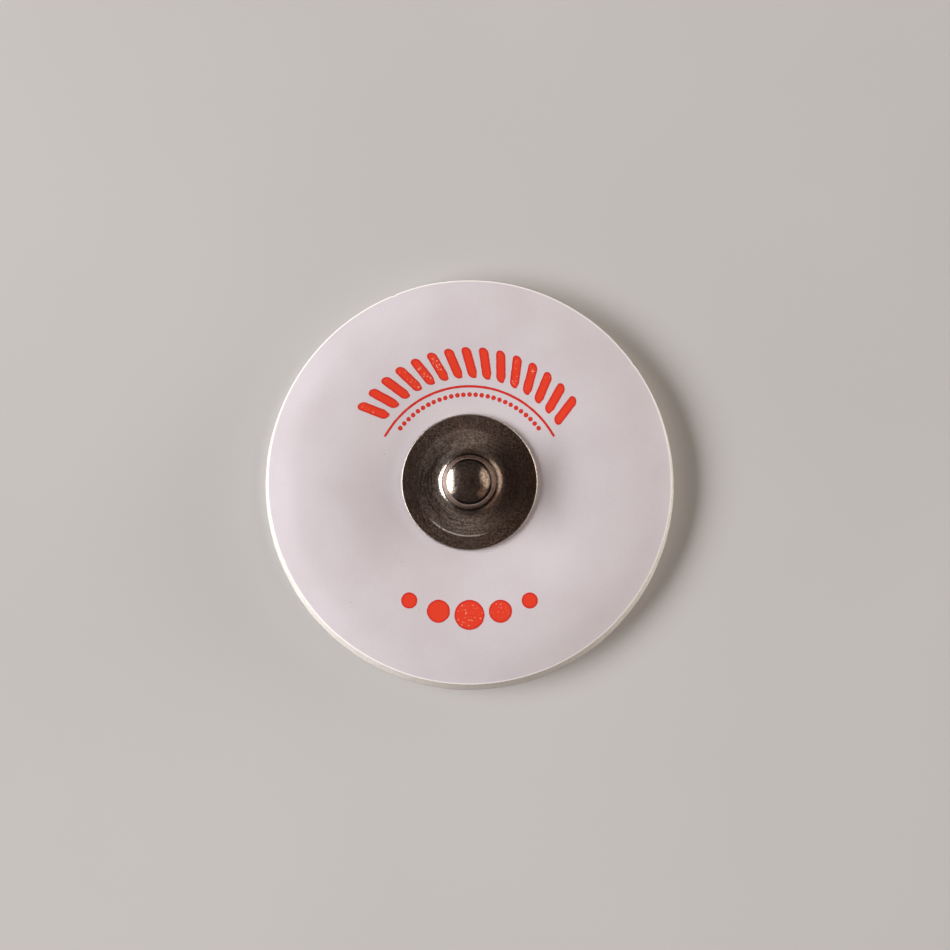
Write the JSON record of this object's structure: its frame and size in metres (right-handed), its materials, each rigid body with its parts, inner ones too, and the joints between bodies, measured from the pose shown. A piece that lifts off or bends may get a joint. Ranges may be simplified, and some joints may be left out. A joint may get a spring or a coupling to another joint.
{
  "type": "ecg electrode",
  "caption": "Round disposable snap electrode: foam disc under a printed film, with a drawn metal snap stud on top and a conductive gel well in its skin side.",
  "frame": {"origin": "on the stud's axis, in the plane of the adhesive skin side", "axes": "+Z along the stud, away from the skin; +Y towards the top of the printed face; +X to its right"},
  "size_m": [0.03, 0.03, 0.0047],
  "materials": {
    "foam": "white closed-cell foam with a cut wall",
    "film": "satin white printed film",
    "plated_metal": "dull nickel plate",
    "silver_coat": "silver chloride coat on moulded plastic",
    "gel": "wet clear gel"
  },
  "bodies": {
    "root": {"foam_ring": "foam", "top_label": "film", "snap_stud": "plated_metal", "sensor_eyelet": "silver_coat", "gel_pad": "gel"}
  },
  "joints": []
}
